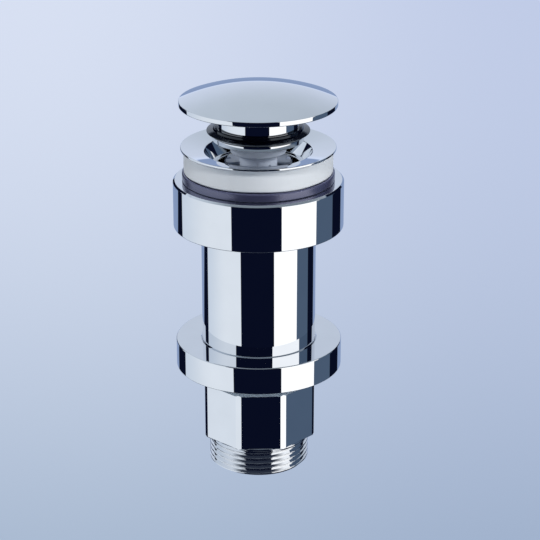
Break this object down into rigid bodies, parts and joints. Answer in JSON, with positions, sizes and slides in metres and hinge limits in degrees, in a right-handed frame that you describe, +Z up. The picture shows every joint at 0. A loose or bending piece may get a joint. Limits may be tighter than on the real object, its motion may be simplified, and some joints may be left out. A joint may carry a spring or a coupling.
{
  "type": "push-open basin waste",
  "caption": "Chromed basin waste with a domed push-open plug, lip seal, dished flange, clamping collar, sleeve, lower ring and an octagonal tail with a threaded outlet.",
  "frame": {"origin": "on the axis, at the clamp plane between the white flange gasket and the dark collar gasket", "axes": "+Z up along the waste's axis towards the plug, -Y towards the front of the picture"},
  "size_m": [0.07, 0.07, 0.1649],
  "materials": {
    "chrome_plate": "mirror-bright chrome plate on brass",
    "black_rubber": "satin moulded rubber",
    "dark_gasket": "smooth dark violet-grey rubber",
    "white_gasket": "soft milky polyethylene foam",
    "grey_plastic": "satin moulded acetal",
    "nylon": "natural nylon",
    "bare_brass": "machined brass",
    "spring_steel": "drawn stainless steel"
  },
  "bodies": {
    "waste_body": {"waste_flange": "chrome_plate", "flange_gasket": "white_gasket", "spider": "bare_brass", "snap_ring": "spring_steel", "cartridge_housing": "grey_plastic", "cartridge_cover": "grey_plastic", "plunger_wiper": "black_rubber", "spring_seat": "nylon", "return_spring": "spring_steel", "cartridge_screw": "spring_steel", "screw_washer": "spring_steel", "shank_oring": "black_rubber"},
    "plug": {"plug_cap": "chrome_plate", "plug_seal": "black_rubber", "seal_retainer": "chrome_plate", "plug_stud": "bare_brass", "plunger": "grey_plastic"},
    "latch": {"latch_ring": "nylon", "latch_pins": "spring_steel"},
    "collar_seat": {"collar_gasket": "dark_gasket"},
    "collar": {"clamp_collar": "chrome_plate"},
    "sleeve": {"sleeve_tube": "chrome_plate", "lower_ring": "chrome_plate", "slip_washer": "nylon"},
    "tail": {"tail_piece": "chrome_plate"}
  },
  "joints": [
    {"name": "plug_pop", "type": "slide", "parent": "waste_body", "child": "plug", "axis": [0, 0, 1], "range_m": [-0.01, 0], "stiffness_N_per_m": 600, "springref_m": 0.008, "deforming": ["return_spring"]},
    {"name": "latch_turn", "type": "hinge", "parent": "waste_body", "child": "latch", "pos_m": [0, 0, -0.0082], "axis": [0, 0, 1], "range_deg": [-60, 0]},
    {"name": "collar_climb", "type": "slide", "parent": "waste_body", "child": "collar_seat", "axis": [0, 0, 1], "range_m": [-0.01, 0]},
    {"name": "collar_turn", "type": "hinge", "parent": "collar_seat", "child": "collar", "pos_m": [0, 0, -0.01], "axis": [0, 0, 1], "range_deg": [-1800, 0]},
    {"name": "sleeve_climb", "type": "slide", "parent": "waste_body", "child": "sleeve", "axis": [0, 0, 1], "range_m": [-0.004, 0]},
    {"name": "tail_turn", "type": "hinge", "parent": "sleeve", "child": "tail", "pos_m": [0, 0, -0.1], "axis": [0, 0, 1], "range_deg": [-720, 0]}
  ],
  "couplings": [
    {"joint": "latch_turn", "follows": "plug_pop", "rad_per_m": 104.72},
    {"joint": "collar_climb", "follows": "collar_turn", "m_per_rad": 0.0003183},
    {"joint": "sleeve_climb", "follows": "tail_turn", "m_per_rad": 0.0003183}
  ]
}
